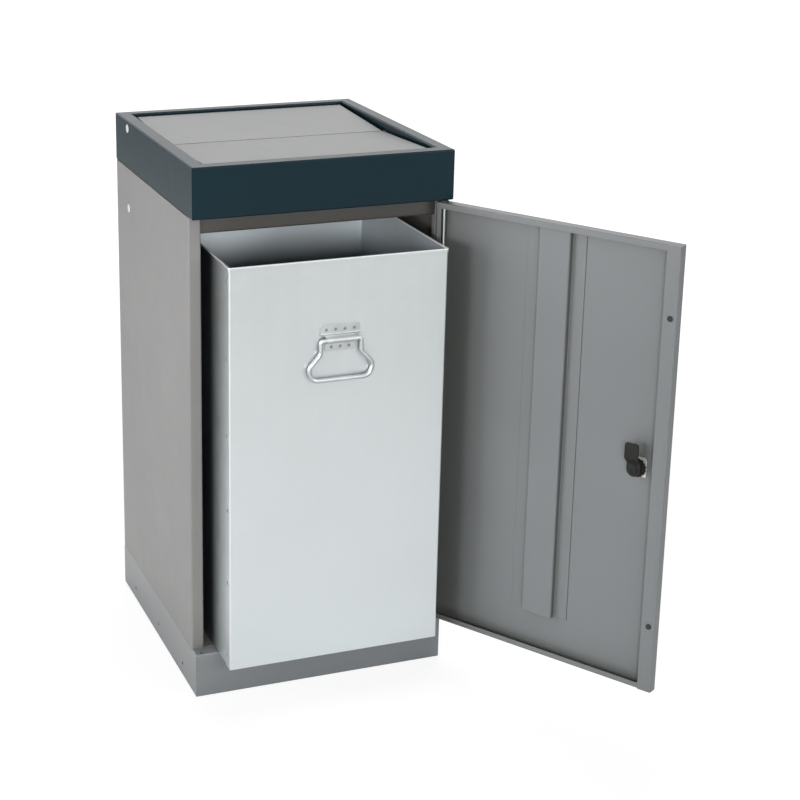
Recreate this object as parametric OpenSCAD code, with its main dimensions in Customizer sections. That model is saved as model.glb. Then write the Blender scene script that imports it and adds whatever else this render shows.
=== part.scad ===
/* [Cabinet] */
// Width of the cabinet over its side panels
cabinet_w = 400; // [370:1:480]
// Depth of the cabinet from the hood's front face to its back
cabinet_d = 420; // [410:1:500]
// Height of the cabinet from the ground to the rim
cabinet_h = 820; // [760:1:960]
// Thickness of the cabinet's sheet steel
sheet = 1.2; // [0.8:0.1:1.6]
// Radius of the folds at the middle of the sheet
fold_r = 2; // [1.2:0.1:3]
// Width of the folded flange down each side of the door opening
front_flange_w = 19; // [16:1:24]
// Depth of the lip behind that flange
front_lip_d = 12; // [8:1:16]
// Width of the lip that holds the back panel
rear_lip_w = 18; // [12:1:26]
// Depth of the flange along the top of the back panel
back_flange_d = 15; // [8:1:22]
// Height of the upturned edge behind the container
floor_stop_h = 20; // [10:1:40]

/* [Plinth] */
// Height of the plinth
plinth_h = 70; // [50:1:100]
// Width of the ledge round the top of the plinth
plinth_ledge_w = 30; // [24:1:40]
// Width of the lip round the foot of the plinth
plinth_lip_w = 15; // [10:1:24]
// Diameter of the fixing holes in the sides of the plinth
fixing_hole_d = 5.5; // [4:0.5:8]
// Distance from one fixing hole to the next
fixing_pitch = 137.5; // [100:0.5:170]
// Height of the fixing holes
fixing_z = 21; // [14:1:30]

/* [Hood] */
// Height of the hood
hood_h = 76; // [66:1:100]
// Width of the flat rim round the throat
rim_w = 22; // [18:1:30]
// Drop of the lip inside the rim
throat_lip_h = 40; // [34:1:56]
// Width of the flange under the hood
hood_flange_w = 22; // [20:1:30]
// Length of each bracket that carries the hood
bracket_len = 40; // [24:1:60]
// Width of each leg of a bracket
bracket_leg = 19; // [16:1:21]
// Thickness of a bracket
bracket_t = 2; // [1.5:0.5:3]
// Distance of the brackets in front of and behind the middle
bracket_y = 120; // [80:1:140]
// Diameter of the screws that hold the hood
hood_screw_d = 5; // [4:0.5:6]
// Diameter of the blanking plugs in the sides
plug_d = 13; // [10:1:16]
// Distance of the plugs behind the middle
plug_y = 137; // [100:1:160]
// Distance of the hood's plugs below the rim
hood_plug_drop = 12; // [10:1:16]
// Distance of the side panels' plugs below the hood
side_plug_drop = 64; // [40:1:100]

/* [Upper rail] */
// Height of the rail over the door opening
rail_h = 26; // [16:1:34]
// Distance of the rail behind the front flanges
rail_back = 3; // [2:0.5:5]
// Depth of the rail's folded edges
rail_edge_d = 6; // [4:0.5:7]

/* [Flap] */
// Gap between the flap and the throat at the front and the back
flap_end_gap = 5; // [4:0.5:8]
// Gap between the flap and the throat at each side
flap_side_gap = 6; // [5:0.5:9]
// Thickness of the flap's sheet
flap_t = 1; // [0.8:0.1:1.4]
// Radius of the flap's folds at the middle of its sheet
flap_fold_r = 1.4; // [1.2:0.1:2.4]
// Depth of the flap's outer edges below the rim
flap_drop = 4; // [3:0.5:8]
// Fall of the flap from its outer edges to the fold in the middle
flap_fall = 8; // [4:0.5:12]
// Height of the edge folded down at the front and the back
flap_edge_h = 8; // [5:0.5:12]
// Height of the flanges that clamp the web
flap_flange_h = 13; // [10:0.5:16]
// Thickness of the web between the two leaves
web_t = 2; // [1.5:0.5:4]
// Depth of the web
web_h = 44; // [34:1:56]
// Height of the pivots below the rim
pivot_drop = 20; // [19:0.5:24]
// Diameter of the pivots
pivot_d = 8; // [6:0.5:9]
// Length of each pivot inside the end of the web
pivot_tail = 18; // [10:1:26]
// Diameter of the balance bar
balance_d = 14; // [10:1:18]
// Length of the balance bar
balance_len = 300; // [200:1:320]
// Diameter of the bushes in the throat's walls
bush_d = 12; // [11:0.5:15]
// Thickness of a bush's collar
bush_collar_t = 3; // [2:0.5:4]
// Number of rivets through the flap's web
flap_rivets_n = 4; // [2:1:8]
// Diameter of the small rivets
rivet_d = 3; // [2.5:0.5:4]

/* [Door] */
// Thickness of the door
door_t = 16; // [14:0.5:17]
// Gap between the door's edges and the sides of the cabinet
door_side_gap = 3; // [1:0.5:4]
// Gap above and below the door
door_end_gap = 3; // [2:0.5:5]
// Gap between the shut door and the front flanges
door_gap = 4; // [4:0.5:6]
// Angle of the door in the open position
door_open = 122; // [0:1:122]
// Width of the return along the free edge
free_return_w = 21; // [16:1:28]
// Width of the return along the hinged edge
hinge_return_w = 9; // [6:0.5:11]
// Width of the returns along the top and the bottom
end_return_w = 9; // [6:0.5:14]
// Distance of the hinge rod from the door's hinged edge
hinge_edge = 8; // [7:0.5:9]
// Distance of the hinge rod from the door's front face
hinge_front = 7; // [6:0.5:8]
// Diameter of the hinge rod
rod_d = 5; // [4:0.5:6]
// Diameter of the hinge bushes
door_bush_d = 9; // [8:0.5:9.5]
// Diameter of the rubber buffers
buffer_d = 8; // [6:0.5:10]
// Distance of the buffers from the free edge
buffer_edge = 9.5; // [8:0.5:12]
// Distance of the buffers from the door's ends
buffer_end = 103; // [60:1:140]

/* [Door stiffener] */
// Width of the raised part
stiffener_w = 50; // [30:1:80]
// Height of the raised part
stiffener_h = 10; // [6:0.5:11]
// Width of each welded flange
stiffener_flange_w = 22; // [12:1:30]
// Thickness of the stiffener's sheet
stiffener_t = 1; // [0.8:0.1:1.2]
// Distance of its lower end from the foot of the door
stiffener_foot = 62; // [30:1:100]

/* [Lock] */
// Distance of the lock from the free edge
lock_edge = 50; // [46:1:52]
// Diameter of the lock's threaded barrel
barrel_d = 18; // [16:0.5:20]
// Diameter of the rosette on the front
rosette_d = 26; // [24:1:32]
// Thickness of the rosette
rosette_t = 2; // [1:0.5:3]
// Diameter of the turning core
core_d = 12; // [10:0.5:12]
// Width of the key slot
key_slot_w = 1.6; // [1:0.1:2]
// Width of the backing plate
lock_plate_w = 26; // [24:1:30]
// Height of the backing plate
lock_plate_h = 30; // [26:1:40]
// Diameter of the toothed nut
nut_d = 28; // [24:1:32]
// Thickness of the toothed nut
nut_t = 5; // [3:0.5:6]
// Number of teeth on the nut
nut_teeth = 16; // [10:1:24]
// Width of the cam
cam_w = 21; // [16:1:22]
// Reach of the cam from its centre to its tip
cam_reach = 42; // [40:0.5:43]
// Thickness of the cam
cam_t = 2.6; // [2:0.1:3]
// Offset of the cam's tip behind its hub
cam_crank = 9; // [8.5:0.5:11]

/* [Container] */
// Width of the container
container_w = 332; // [300:1:336]
// Depth of the container
container_d = 328; // [290:1:328]
// Height of the container
container_h = 618; // [540:1:620]
// Thickness of the container's galvanised sheet
tin = 1; // [0.8:0.1:1.4]
// Distance of the container in front of its home position
drawn_out = 147; // [0:1:147]
// Gap behind the container at its home position
home_gap = 2.4; // [2:0.1:6]
// Height of the hemmed rim
hem_h = 6; // [4:0.5:10]
// Width of the laps at the front corners
lap_w = 20; // [12:1:30]
// Height of the base tray's edges
tray_h = 15; // [8:1:24]
// Number of rivets down each lap
lap_rivets_n = 6; // [3:1:9]

/* [Handle] */
// Height of the handle's pivot above the foot of the container
handle_z = 499; // [420:1:510]
// Width of the handle's upper plate
handle_plate_w = 61; // [54:1:70]
// Height of the upper plate above the pivot
handle_plate_h = 23; // [22:1:32]
// Height of the lower plate below the pivot
handle_tongue_h = 17; // [15:1:19]
// Length of the rolled barrel
handle_barrel_w = 46; // [36:1:48]
// Thickness of the handle's plate
handle_t = 1.3; // [1:0.1:1.6]
// Diameter of the bail's wire
wire_d = 6.4; // [5:0.1:7]
// Width of the bail at its shoulders
bail_shoulder_w = 62; // [60:1:72]
// Width of the bail at its widest
bail_w = 100; // [90:1:120]
// Height of the bail from its pivot to its grip
bail_h = 59; // [50:1:62]
// Distance between the upper rivets
upper_rivet_pitch = 14.2; // [12:0.1:15]
// Distance between the lower rivets
lower_rivet_pitch = 13.5; // [10:0.1:15]

/* [Clearances] */
// Radial play between a pin and its bush
pin_play = 0.05; // [0.03:0.01:0.1]
// Radial room round a rivet, screw or plug in its hole
hole_room = 0.05; // [0.02:0.01:0.2]
// Gap between a moving part and the face that it runs on
run_gap = 0.3; // [0.2:0.1:1]

/* [Hidden] */

$fn = 48;
bend_steps = 5;
tiny = 0.01;
far = 1000;
fold_out = fold_r + sheet / 2;
fold_in = fold_r - sheet / 2;

side_x = cabinet_w / 2;
front_y = -cabinet_d / 2;
back_y = cabinet_d / 2;
flange_y = front_y + door_t + door_gap;
hood_z = cabinet_h - hood_h;
throat_x = side_x - rim_w;
throat_y = back_y - rim_w;
flange_end_x = side_x - front_flange_w;

pivot_z = cabinet_h - pivot_drop;
flap_edge_z = cabinet_h - flap_drop;
flap_fold_z = flap_edge_z - flap_fall;
flap_x = throat_x - flap_side_gap;
flap_y = throat_y - flap_end_gap;
web_x = flap_x - 4;
web_top = flap_fold_z - flap_t;
flap_rivet_z = flap_fold_z - flap_flange_h + rivet_d;
bush_collar_d = bush_d + 4;
bush_reach = 5;

door_x = side_x - door_side_gap;
door_w = 2 * door_x;
door_bottom = plinth_h + door_end_gap;
door_top = hood_z - door_end_gap;
door_back_y = front_y + door_t;
panel_y = front_y + sheet;
rod_x = door_x - hinge_edge;
rod_y = front_y + hinge_front;
door_bush_collar_d = door_bush_d + 4;

lock_x = -door_x + lock_edge;
lock_z = (door_bottom + door_top) / 2;
cam_y = door_back_y - cam_t / 2;
cam_tip_y = cam_y + cam_crank;
cam_square = core_d / 2;
barrel_end_y = cam_y - cam_t / 2 - run_gap;
key_slot_h = core_d * 0.55;
key_slot_depth = 3;
nut_tooth = 1.6;

container_z = plinth_h + sheet + run_gap;
container_top = container_z + container_h;
container_x = container_w / 2;
home_back_y = back_y - 3 * sheet - tin - home_gap;
container_back_y = home_back_y - drawn_out;
container_front_y = container_back_y - container_d;
shell_x = container_x - tin;
shell_front_y = container_front_y + 2 * tin + fold_r;
lap_rivet_y = container_front_y + lap_w / 2;
rivet_margin = 22;

handle_pivot_z = container_z + handle_z;
handle_bore_r = wire_d / 2 + pin_play;
handle_roll_r = handle_bore_r + handle_t;
handle_y = container_front_y - handle_t - handle_roll_r + tiny;
upper_rivet_z = handle_pivot_z + handle_plate_h - 8;
lower_rivet_z = handle_pivot_z - handle_tongue_h + 6;
wire_step = 0.1;
wire_lap = 0.6;

cabinet_grey = "#9c9a98";
plinth_grey = "#84888a";
hood_blue = "#2a3b44";
flap_grey = "#aeb0b2";
door_grey = "#8b8f92";
zinc = "#cdd3d3";
black = "#28282a";

// Direction of the line from one point to the next, in degrees
function heading(a, b) = atan2(b.y - a.y, b.x - a.x);

// An angle brought back between -180 and 180 degrees
function wrapped(a) = a > 180 ? a - 360 : a < -180 ? a + 360 : a;

// Places and headings along a path whose corners are rounded to the radius r
function stations(path, r) = concat(
    [[path[0], heading(path[0], path[1])]],
    [for (i = [1:1:len(path) - 2])
        let (h0 = heading(path[i - 1], path[i]),
             turn = wrapped(heading(path[i], path[i + 1]) - h0),
             cut = r * tan(abs(turn) / 2),
             start = path[i] - cut * [cos(h0), sin(h0)],
             centre = start + sign(turn) * r * [-sin(h0), cos(h0)])
        for (k = [0:bend_steps])
            let (h = h0 + turn * k / bend_steps)
            [centre + sign(turn) * r * [sin(h), -cos(h)], h]],
    [[path[len(path) - 1], heading(path[len(path) - 2], path[len(path) - 1])]]);

// Outline of a sheet of thickness t that is folded along a path
function sheet_outline(path, t, r) = let (s = stations(path, r)) concat(
    [for (q = s) q[0] + t / 2 * [-sin(q[1]), cos(q[1])]],
    [for (i = [len(s) - 1:-1:0]) s[i][0] - t / 2 * [-sin(s[i][1]), cos(s[i][1])]]);

// A folded sheet that stands upright, its path seen from above
module upright(path, z0, z1, t = sheet, r = fold_r)
    translate([0, 0, z0]) linear_extrude(z1 - z0) polygon(sheet_outline(path, t, r));

// A folded sheet that runs across, its path seen from the side as [y, z]
module across(path, x0, x1, t = sheet, r = fold_r)
    translate([x0, 0, 0]) rotate([90, 0, 90]) linear_extrude(x1 - x0)
        polygon(sheet_outline(path, t, r));

// A box given by its two corners
module block(a, b) translate(a) cube(b - a);

// A straight round bar from one x to another
module bar_x(x0, x1, y, z, r) translate([x0, y, z]) rotate([0, 90, 0]) cylinder(r = r, h = x1 - x0);

// A straight round bar from one y to another
module bar_y(y0, y1, x, z, r) translate([x, y0, z]) rotate([-90, 0, 0]) cylinder(r = r, h = y1 - y0);

// Points along an arc, the angles in degrees
function arc(centre, r, a0, a1) = [for (k = [0:bend_steps])
    let (a = a0 + (a1 - a0) * k / bend_steps) centre + r * [cos(a), sin(a)]];

// Everything inwards of an edge all round the cabinet, the edge given as [distance inwards, z]
module inwards(edge) intersection_for(k = [0, 1]) {
    span = k == 0 ? cabinet_d : cabinet_w;
    rotate([90, 0, 90 * (1 + k)]) translate([0, 0, -far / 2]) linear_extrude(far) polygon(concat(
        [for (p = edge) [p.x - span / 2, p.y]],
        [for (i = [len(edge) - 1:-1:0]) [span / 2 - edge[i].x, edge[i].y]]));
}

// A wall all round the cabinet that is folded inwards at its foot and at its top
module folded_wall(z0, z1, foot_w, top_w) difference() {
    inwards(concat(arc([fold_out, z0 + fold_out], fold_out, 270, 180),
        arc([fold_out, z1 - fold_out], fold_out, 180, 90)));
    inwards(concat(arc([fold_out, z0 + fold_out], fold_in, 270, 180),
        arc([fold_out, z1 - fold_out], fold_in, 180, 90)));
    inwards([[foot_w, z0 - 1], [foot_w, z0 + fold_out]]);
    inwards([[top_w, z1 - fold_out], [top_w, z1 + 1]]);
}

// The same on both sides of the middle
module both_sides() for (s = [0, 1]) mirror([s, 0, 0]) children();

// A piece of the door, drawn shut and swung about the hinge rod
module on_door() translate([rod_x, rod_y, 0]) rotate([0, 0, door_open])
    translate([-rod_x, -rod_y, 0]) children();

module plinth() color(plinth_grey) difference() {
    folded_wall(0, plinth_h, plinth_lip_w, plinth_ledge_w);
    both_sides() translate([rod_x, rod_y, plinth_h - 2 * sheet])
        cylinder(r = rod_d / 2 + hole_room, h = 4 * sheet);
    both_sides() for (k = [-1:1])
        bar_x(side_x - 2 * sheet, side_x + sheet, k * fixing_pitch, fixing_z, fixing_hole_d / 2);
}

module floor_panel() {
    y1 = back_y - 2.5 * sheet;
    z = plinth_h + sheet / 2;
    corner_x = flange_end_x - 1;
    color(cabinet_grey) difference() {
        across([[flange_y + sheet + run_gap, z], [y1, z], [y1, z + floor_stop_h]],
            -side_x + sheet + run_gap, side_x - sheet - run_gap);
        both_sides() block([corner_x, flange_y - 1, z - sheet],
            [side_x, flange_y + front_lip_d + 1, z + sheet]);
    }
}

// Hole for a blanking plug through a side wall
module plug_hole(z) bar_x(side_x - 2 * sheet, side_x + sheet, plug_y, z, plug_d / 2 - 2 + hole_room);

module side_panel() {
    x0 = side_x - sheet / 2;
    lip_x = flange_end_x + sheet / 2;
    notch_h = cam_reach + cam_w;
    difference() {
        upright([[side_x - rear_lip_w, back_y - sheet / 2], [x0, back_y - sheet / 2],
            [x0, flange_y + sheet / 2], [lip_x, flange_y + sheet / 2],
            [lip_x, flange_y + front_lip_d]], plinth_h, hood_z);
        block([lip_x - sheet, flange_y + sheet, lock_z - notch_h / 2],
            [lip_x + sheet, flange_y + front_lip_d + 1, lock_z + notch_h / 2]);
        plug_hole(hood_z - side_plug_drop);
    }
}

module left_side_panel() color(cabinet_grey) mirror([1, 0, 0]) side_panel();

module right_side_panel() color(cabinet_grey) side_panel();

module back_panel() {
    y = back_y - 1.5 * sheet;
    color(cabinet_grey) across([[y, plinth_h], [y, hood_z - sheet / 2],
        [y - back_flange_d, hood_z - sheet / 2]], -side_x + sheet + fold_r, side_x - sheet - fold_r);
}

module upper_rail() {
    y = flange_y + rail_back + sheet / 2;
    z0 = hood_z - rail_h + sheet / 2;
    z1 = hood_z - sheet / 2;
    color("#6b6a67") across([[y + rail_edge_d, z1], [y, z1], [y, z0], [y + rail_edge_d, z0]],
        -flange_end_x, flange_end_x);
}

// Repeats a piece at the four places where the hood is screwed down
module hood_fixings() both_sides() for (s = [-1, 1])
    translate([side_x - sheet - bracket_leg / 2 - 1, s * bracket_y, 0]) children();

module hood_brackets() {
    x1 = bracket_leg / 2 + 1;
    color(cabinet_grey) hood_fixings() difference() {
        union() {
            block([x1 - bracket_leg, -bracket_len / 2, hood_z - bracket_t], [x1, bracket_len / 2, hood_z]);
            block([x1 - bracket_t, -bracket_len / 2, hood_z - bracket_leg], [x1, bracket_len / 2, hood_z]);
        }
        translate([0, 0, hood_z - 2 * bracket_t])
            cylinder(r = hood_screw_d / 2 + hole_room, h = 3 * bracket_t);
    }
}

// The lip that is folded down inside the rim
module throat_lip() {
    bend = [rim_w - fold_out, cabinet_h - fold_out];
    lip_z = cabinet_h - throat_lip_h;
    difference() {
        union() {
            children();
            inwards(concat([bend + [0, fold_out - sheet / 2]], arc(bend, fold_in, 90, 0),
                [[rim_w - sheet, lip_z]]));
        }
        inwards(concat([bend + [-1, fold_out + 1]], arc(bend, fold_out, 90, 0), [[rim_w, lip_z - 1]]));
    }
}

module hood_frame() color(hood_blue) difference() {
    throat_lip() folded_wall(hood_z, cabinet_h, hood_flange_w, rim_w - fold_out);
    hood_fixings() translate([0, 0, hood_z - sheet])
        cylinder(r = hood_screw_d / 2 + hole_room, h = 3 * sheet);
    both_sides() translate([rod_x, rod_y, hood_z - sheet]) cylinder(r = rod_d / 2 + hole_room, h = 3 * sheet);
    both_sides() bar_x(throat_x - sheet, throat_x + 2 * sheet, 0, pivot_z, bush_d / 2 + hole_room);
    both_sides() plug_hole(cabinet_h - hood_plug_drop);
}

module hood_screws() color(zinc) hood_fixings() {
    translate([0, 0, hood_z - bracket_t - 4]) cylinder(r = hood_screw_d / 2, h = bracket_t + 4 + sheet);
    translate([0, 0, hood_z + sheet]) cylinder(r = hood_screw_d * 0.9, h = hood_screw_d * 0.7, $fn = 6);
}

module side_plugs() color("#dcdedc") both_sides()
    for (z = [cabinet_h - hood_plug_drop, hood_z - side_plug_drop]) {
        bar_x(side_x - 4, side_x, plug_y, z, plug_d / 2 - 2);
        bar_x(side_x, side_x + 1, plug_y, z, plug_d / 2);
    }

module flap_bushes() color(black) both_sides() difference() {
    union() {
        bar_x(throat_x - bush_collar_t, throat_x, 0, pivot_z, bush_collar_d / 2);
        bar_x(throat_x, throat_x + bush_reach, 0, pivot_z, bush_d / 2);
    }
    bar_x(throat_x - far / 100, throat_x + far / 100, 0, pivot_z, pivot_d / 2 + pin_play);
}

module hinge_rod() color(zinc) translate([rod_x, rod_y, 0]) {
    translate([0, 0, plinth_h - 2 * rod_d]) cylinder(r = rod_d / 2, h = hood_z + sheet - plinth_h + 2 * rod_d);
    translate([0, 0, hood_z + sheet]) cylinder(r = rod_d * 0.9, h = rod_d / 2);
}

// One leaf of the flap, in front of the web
module flap_leaf() {
    y1 = -web_t / 2 - flap_t / 2;
    edge_y = -flap_y + flap_t / 2;
    edge_z = flap_edge_z - flap_t / 2;
    fold_z = flap_fold_z - flap_t / 2;
    difference() {
        across([[edge_y, edge_z - flap_edge_h], [edge_y, edge_z], [y1, fold_z],
            [y1, fold_z - flap_flange_h]], -flap_x, flap_x, flap_t, flap_fold_r);
        both_sides() block([web_x - pivot_tail - 2, y1 - 1.5 * flap_t, fold_z - flap_flange_h - 1],
            [flap_x + 1, y1 + flap_t, pivot_z + pivot_d / 2 + run_gap]);
        flap_rivet_holes();
    }
}

// Places along the web where a rivet goes through
function flap_rivet_x(i) = (i / (flap_rivets_n - 1) - 0.5) * (2 * web_x - 4 * pivot_tail);

module flap_rivet_holes() for (i = [0:flap_rivets_n - 1])
    bar_y(-far / 50, far / 50, flap_rivet_x(i), flap_rivet_z, rivet_d / 2 + hole_room);

module flap_front_leaf() color(flap_grey) flap_leaf();

module flap_rear_leaf() color(flap_grey) mirror([0, 1, 0]) flap_leaf();

module flap_web() color(zinc) difference() {
    block([-web_x, -web_t / 2, web_top - web_h], [web_x, web_t / 2, web_top]);
    both_sides() block([web_x - pivot_tail, -web_t, pivot_z - pivot_d / 2],
        [web_x + 1, web_t, pivot_z + pivot_d / 2]);
    flap_rivet_holes();
}

module flap_pivots() color(zinc) both_sides()
    bar_x(web_x - pivot_tail, throat_x + bush_reach, 0, pivot_z, pivot_d / 2);

module flap_balance_bar() {
    z = web_top - web_h - balance_d / 2 + 3;
    color(zinc) difference() {
        bar_x(-balance_len / 2, balance_len / 2, 0, z, balance_d / 2);
        block([-balance_len, -web_t / 2, web_top - web_h], [balance_len, web_t / 2, z + balance_d]);
    }
}

module flap_rivets() {
    y = web_t / 2 + flap_t;
    color(zinc) for (i = [0:flap_rivets_n - 1]) {
        bar_y(-y, y, flap_rivet_x(i), flap_rivet_z, rivet_d / 2);
        for (s = [0, 1]) mirror([0, s, 0]) bar_y(y, y + 1, flap_rivet_x(i), flap_rivet_z, rivet_d * 0.9);
    }
}

module door_pan() {
    yf = front_y + sheet / 2;
    yb = door_back_y - sheet / 2;
    xe = door_x - sheet / 2;
    color(door_grey) on_door() difference() {
        union() {
            upright([[-door_x + free_return_w, yb], [-xe, yb], [-xe, yf], [xe, yf], [xe, yb],
                [door_x - hinge_return_w, yb]], door_bottom, door_top);
            across([[yb, door_bottom + end_return_w], [yb, door_bottom + sheet / 2],
                [yf, door_bottom + sheet / 2]], -xe, xe);
            across([[yb, door_top - end_return_w], [yb, door_top - sheet / 2],
                [yf, door_top - sheet / 2]], -xe, xe);
        }
        for (z = [door_bottom, door_top]) translate([rod_x, rod_y, z - 2 * sheet])
            cylinder(r = door_bush_d / 2 + hole_room, h = 4 * sheet);
        buffer_places() bar_y(-2 * sheet, sheet, 0, 0, buffer_d / 4 + hole_room);
        bar_y(front_y - 1, panel_y + 1, lock_x, lock_z, barrel_d / 2 + hole_room);
    }
}

// Repeats a piece at the two buffers, from the back of the free return
module buffer_places() for (z = [door_bottom + buffer_end, door_top - buffer_end])
    translate([-door_x + buffer_edge, door_back_y, z]) children();

module door_stiffener() {
    y0 = panel_y + stiffener_t / 2;
    y1 = panel_y + stiffener_h - stiffener_t / 2;
    xi = stiffener_w / 2;
    xo = xi + stiffener_flange_w;
    color(door_grey) on_door() upright([[-xo, y0], [-xi, y0], [-xi, y1], [xi, y1], [xi, y0], [xo, y0]],
        door_bottom + stiffener_foot, door_top - sheet, stiffener_t);
}

module door_bushes() color(black) on_door() translate([rod_x, rod_y, 0])
    for (end = [[door_bottom, 1], [door_top, -1]]) translate([0, 0, end[0]]) scale([1, 1, end[1]])
        difference() {
            union() {
                translate([0, 0, run_gap - door_end_gap])
                    cylinder(r = door_bush_collar_d / 2, h = door_end_gap - run_gap);
                cylinder(r = door_bush_d / 2, h = 4 * sheet);
            }
            translate([0, 0, -2 * door_end_gap])
                cylinder(r = rod_d / 2 + pin_play, h = 4 * door_end_gap + 4 * sheet);
        }

module door_buffers() color(black) on_door() buffer_places() {
    bar_y(0, door_gap - run_gap, 0, 0, buffer_d / 2);
    bar_y(-2 * sheet, 0, 0, 0, buffer_d / 4);
}

module lock_barrel() color(zinc) on_door() difference() {
    union() {
        bar_y(front_y - rosette_t, front_y, lock_x, lock_z, rosette_d / 2);
        bar_y(front_y, barrel_end_y, lock_x, lock_z, barrel_d / 2);
    }
    bar_y(front_y - 2 * rosette_t, barrel_end_y + 1, lock_x, lock_z, core_d / 2 + pin_play);
}

module lock_plate() color("#a5a39b") on_door() difference() {
    block([lock_x - lock_plate_w / 2, panel_y, lock_z - lock_plate_h / 2],
        [lock_x + lock_plate_w / 2, panel_y + sheet, lock_z + lock_plate_h / 2]);
    bar_y(panel_y - 1, panel_y + 2 * sheet, lock_x, lock_z, barrel_d / 2 + hole_room);
}

module lock_nut() {
    y0 = panel_y + sheet;
    color(black) on_door() difference() {
        bar_y(y0, y0 + nut_t, lock_x, lock_z, nut_d / 2);
        bar_y(y0 - 1, y0 + nut_t + 1, lock_x, lock_z, barrel_d / 2 + hole_room);
        for (a = [0:360 / nut_teeth:359]) translate([lock_x, 0, lock_z]) rotate([0, a, 0])
            bar_y(y0 - 1, y0 + nut_t + 1, nut_d / 2, 0, nut_tooth);
    }
}

module lock_core() color(zinc) on_door() difference() {
    union() {
        bar_y(front_y - rosette_t, cam_y - cam_t / 2, lock_x, lock_z, core_d / 2);
        block([lock_x - cam_square / 2, cam_y - cam_t, lock_z - cam_square / 2],
            [lock_x + cam_square / 2, cam_y + cam_t / 2, lock_z + cam_square / 2]);
    }
    block([lock_x - key_slot_w / 2, front_y - rosette_t - 1, lock_z - key_slot_h / 2],
        [lock_x + key_slot_w / 2, front_y - rosette_t + key_slot_depth, lock_z + key_slot_h / 2]);
}

module lock_cam() {
    hub_r = cam_w / 2;
    tip_r = cam_w / 6;
    tip_z = cam_reach - tip_r;
    bend_z = hub_r - 0.5;
    color(black) on_door() translate([lock_x, 0, lock_z]) difference() {
        intersection() {
            across([[cam_y, -hub_r], [cam_y, bend_z], [cam_tip_y, bend_z + cam_crank],
                [cam_tip_y, cam_reach]], -hub_r, hub_r, cam_t, cam_t);
            rotate([90, 0, 0]) translate([0, 0, -far]) linear_extrude(2 * far) union() {
                circle(r = hub_r);
                translate([-hub_r, 0]) square([cam_w, tip_z]);
                translate([-hub_r + tip_r, 0]) square([cam_w - 2 * tip_r, cam_reach]);
                for (s = [-1, 1]) translate([s * (hub_r - tip_r), tip_z]) circle(r = tip_r);
            }
        }
        block([-cam_square / 2 - hole_room, cam_y - cam_t, -cam_square / 2 - hole_room],
            [cam_square / 2 + hole_room, cam_y + cam_t, cam_square / 2 + hole_room]);
    }
}

module cam_screw() color(black) on_door()
    bar_y(cam_y + cam_t / 2, cam_y + cam_t * 1.3, lock_x, lock_z, cam_square * 0.9);

// A band of sheet round the two sides and the back of the container, out by a distance
module shell_band(out, z0, z1) {
    x = shell_x - tin / 2 + out;
    y = container_back_y - tin / 2 + out;
    upright([[-x, shell_front_y], [-x, y], [x, y], [x, shell_front_y]], z0, z1, tin, fold_r + out);
}

// A band of sheet across the front of the container and round its corners, out by a distance
module front_band(out, z0, z1) {
    x = container_x - tin / 2 + out;
    y = container_front_y + tin / 2 - out;
    upright([[-x, container_front_y + lap_w], [-x, y], [x, y], [x, container_front_y + lap_w]],
        z0, z1, tin, fold_r + out);
}

// Repeats a piece at each rivet of the front laps, its axis along X
module lap_rivet_places() {
    pitch = (container_h - 2 * rivet_margin) / (lap_rivets_n - 1);
    both_sides() for (i = [0:lap_rivets_n - 1])
        translate([0, lap_rivet_y, container_z + rivet_margin + i * pitch]) children();
}

module lap_rivet_holes() lap_rivet_places()
    bar_x(container_x - 3 * tin, container_x + tin, 0, 0, rivet_d / 2 + hole_room);

module container_shell() color(zinc) difference() {
    union() {
        shell_band(0, container_z, container_top);
        difference() {
            shell_band(tin, container_top - hem_h, container_top);
            block([-far, container_front_y - far, container_z],
                [far, container_front_y + lap_w, container_top + 1]);
        }
    }
    lap_rivet_holes();
}

module container_front() color(zinc) difference() {
    union() {
        front_band(0, container_z, container_top);
        front_band(tin, container_top - hem_h, container_top);
    }
    lap_rivet_holes();
    handle_rivet_places() bar_y(-tin, 3 * tin, 0, 0, rivet_d / 2 + hole_room);
}

module container_base() {
    x = shell_x - tin;
    y0 = container_front_y + tin;
    y1 = container_back_y - tin;
    color(zinc) difference() {
        block([-x, y0, container_z], [x, y1, container_z + tray_h]);
        block([-x + tin, y0 + tin, container_z + tin], [x - tin, y1 - tin, container_z + tray_h + 1]);
        for (y = [y0, y1]) both_sides() translate([x, y, container_z]) rotate([0, 0, y == y1 ? -45 : 45])
            cube([far / 10, 2 * fold_r, far / 10], center = true);
    }
}

module container_rivets() color(zinc) lap_rivet_places() {
    bar_x(container_x - 2 * tin, container_x, 0, 0, rivet_d / 2);
    bar_x(container_x, container_x + tin, 0, 0, rivet_d * 0.9);
    bar_x(container_x - 3 * tin, container_x - 2 * tin, 0, 0, rivet_d * 0.8);
}

// Repeats a piece at each rivet of the handle, from the container's front face
module handle_rivet_places() {
    for (i = [-1.5:1:1.5]) translate([i * upper_rivet_pitch, container_front_y, upper_rivet_z]) children();
    for (i = [-1:1:1]) translate([i * lower_rivet_pitch, container_front_y, lower_rivet_z]) children();
}

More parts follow.
